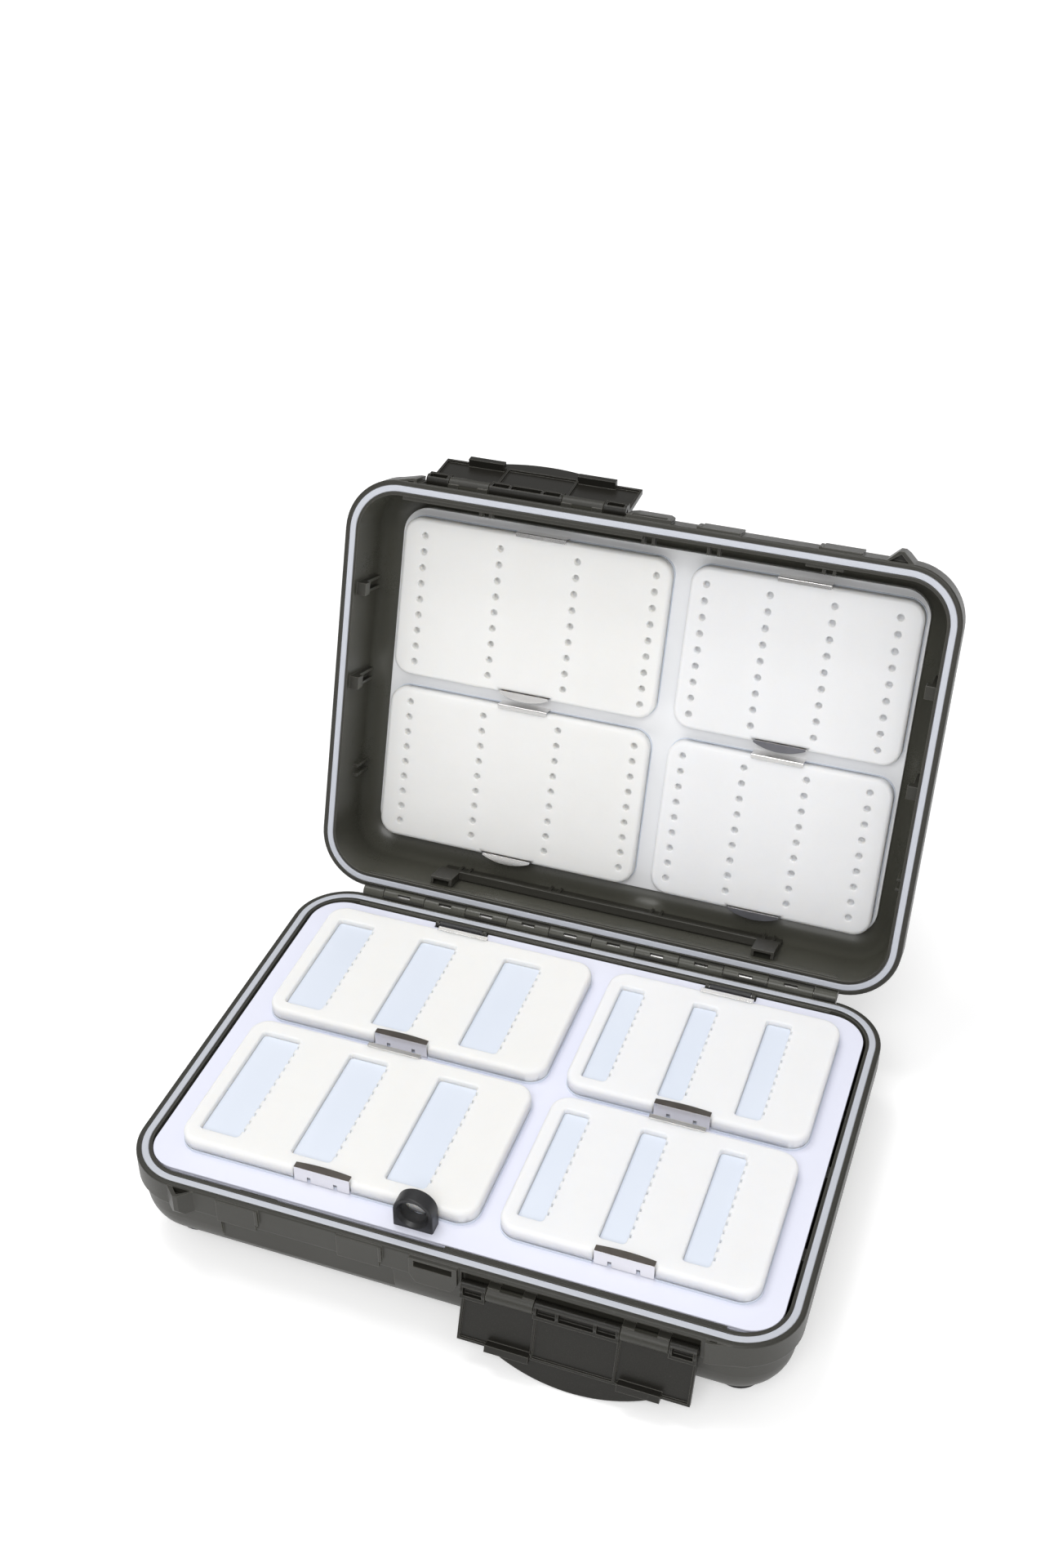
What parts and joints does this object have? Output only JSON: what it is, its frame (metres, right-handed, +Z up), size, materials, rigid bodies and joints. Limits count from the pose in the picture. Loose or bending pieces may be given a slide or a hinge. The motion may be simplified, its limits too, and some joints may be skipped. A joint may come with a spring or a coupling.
{
  "type": "fly box",
  "caption": "Hard fly box of two like shells on a rear hinge with draw latches, a swing page lifted by a finger ring, and foam fly cards held by spring clips.",
  "frame": {"origin": "on the surface that the box stands on, below the middle of the closed box's plan", "axes": "+X to the user's right, +Y to the hinge at the rear, +Z up"},
  "size_m": [0.2668, 0.2994, 0.2269],
  "materials": {
    "shell_plastic": "satin, fine moulded grain",
    "seal": "smooth",
    "foot_rubber": "matt",
    "pin_steel": "drawn",
    "page_plastic": "satin",
    "black_plastic": "satin",
    "backing_plastic": "satin",
    "foam": "closed-cell foam with a smooth skin",
    "clip_steel": "bright rolled",
    "liner_plastic": "satin"
  },
  "bodies": {
    "base": {"base_tub": "shell_plastic", "base_gasket": "seal", "base_rail": "shell_plastic", "foot_front_left": "foot_rubber", "foot_front_right": "foot_rubber", "foot_rear_left": "foot_rubber", "foot_rear_right": "foot_rubber", "hinge_pin": "pin_steel", "base_latch_pin": "pin_steel", "page_hinge_pins": "pin_steel"},
    "base_latch": {"base_latch": "shell_plastic"},
    "page": {"page_plate": "page_plastic", "page_hinge_leaves": "black_plastic", "finger_ring": "black_plastic", "page_backing_front_wide": "backing_plastic", "page_backing_front_narrow": "backing_plastic", "page_backing_rear_wide": "backing_plastic", "page_backing_rear_narrow": "backing_plastic", "page_foam_front_wide": "foam", "page_foam_front_narrow": "foam", "page_foam_rear_wide": "foam", "page_foam_rear_narrow": "foam", "page_lip_front_wide": "clip_steel", "page_lip_front_narrow": "clip_steel", "page_lip_rear_wide": "clip_steel", "page_lip_rear_narrow": "clip_steel"},
    "lid": {"lid_shell": "shell_plastic", "lid_gasket": "seal", "lid_liner": "liner_plastic", "lid_rail": "shell_plastic", "lid_latch_pin": "pin_steel", "lid_backing_front_wide": "backing_plastic", "lid_backing_front_narrow": "backing_plastic", "lid_backing_rear_wide": "backing_plastic", "lid_backing_rear_narrow": "backing_plastic", "lid_foam_front_wide": "foam", "lid_foam_front_narrow": "foam", "lid_foam_rear_wide": "foam", "lid_foam_rear_narrow": "foam", "lid_lip_front_wide": "clip_steel", "lid_lip_front_narrow": "clip_steel", "lid_lip_rear_wide": "clip_steel", "lid_lip_rear_narrow": "clip_steel"},
    "lid_latch": {"lid_latch": "shell_plastic"},
    "page_tab_front_wide": {"page_tab_front_wide": "clip_steel"},
    "page_tab_front_narrow": {"page_tab_front_narrow": "clip_steel"},
    "page_tab_rear_wide": {"page_tab_rear_wide": "clip_steel"},
    "page_tab_rear_narrow": {"page_tab_rear_narrow": "clip_steel"},
    "lid_tab_front_wide": {"lid_tab_front_wide": "clip_steel"},
    "lid_tab_front_narrow": {"lid_tab_front_narrow": "clip_steel"},
    "lid_tab_rear_wide": {"lid_tab_rear_wide": "clip_steel"},
    "lid_tab_rear_narrow": {"lid_tab_rear_narrow": "clip_steel"}
  },
  "joints": [
    {"name": "lid_hinge", "type": "hinge", "parent": "base", "child": "lid", "pos_m": [0, 0.09584, 0.042], "axis": [1, 0, 0], "range_deg": [0, 107.66]},
    {"name": "page_hinge", "type": "hinge", "parent": "base", "child": "page", "pos_m": [0, 0.084, 0.0426], "axis": [1, 0, 0], "range_deg": [-100, 0]},
    {"name": "base_latch_hinge", "type": "hinge", "parent": "base", "child": "base_latch", "pos_m": [0.05547, -0.0947, 0.0332], "axis": [-1, 0, 0], "range_deg": [0, 161]},
    {"name": "lid_latch_hinge", "type": "hinge", "parent": "lid", "child": "lid_latch", "pos_m": [-0.05547, 0.16203, 0.22089], "axis": [1, 0, 0], "range_deg": [0, 161]},
    {"name": "page_tab_front_wide_flex", "type": "hinge", "parent": "page", "child": "page_tab_front_wide", "pos_m": [-0.05375, -0.07505, 0.04205], "axis": [1, 0, 0], "range_deg": [0, 10], "stiffness_Nm_per_rad": 0.05},
    {"name": "page_tab_front_narrow_flex", "type": "hinge", "parent": "page", "child": "page_tab_front_narrow", "pos_m": [0.0664, -0.07505, 0.04205], "axis": [1, 0, 0], "range_deg": [0, 10], "stiffness_Nm_per_rad": 0.05},
    {"name": "page_tab_rear_wide_flex", "type": "hinge", "parent": "page", "child": "page_tab_rear_wide", "pos_m": [-0.05375, 0.0034, 0.04205], "axis": [1, 0, 0], "range_deg": [0, 10], "stiffness_Nm_per_rad": 0.05},
    {"name": "page_tab_rear_narrow_flex", "type": "hinge", "parent": "page", "child": "page_tab_rear_narrow", "pos_m": [0.0664, 0.0034, 0.04205], "axis": [1, 0, 0], "range_deg": [0, 10], "stiffness_Nm_per_rad": 0.05},
    {"name": "lid_tab_front_wide_flex", "type": "hinge", "parent": "lid", "child": "lid_tab_front_wide", "pos_m": [-0.0518, 0.1551, 0.12644], "axis": [1, 0, 0], "range_deg": [0, 10], "stiffness_Nm_per_rad": 0.05},
    {"name": "lid_tab_front_narrow_flex", "type": "hinge", "parent": "lid", "child": "lid_tab_front_narrow", "pos_m": [0.065, 0.1551, 0.12644], "axis": [1, 0, 0], "range_deg": [0, 10], "stiffness_Nm_per_rad": 0.05},
    {"name": "lid_tab_rear_wide_flex", "type": "hinge", "parent": "lid", "child": "lid_tab_rear_wide", "pos_m": [-0.0518, 0.1313, 0.05169], "axis": [1, 0, 0], "range_deg": [0, 10], "stiffness_Nm_per_rad": 0.05},
    {"name": "lid_tab_rear_narrow_flex", "type": "hinge", "parent": "lid", "child": "lid_tab_rear_narrow", "pos_m": [0.065, 0.1313, 0.05169], "axis": [1, 0, 0], "range_deg": [0, 10], "stiffness_Nm_per_rad": 0.05}
  ]
}
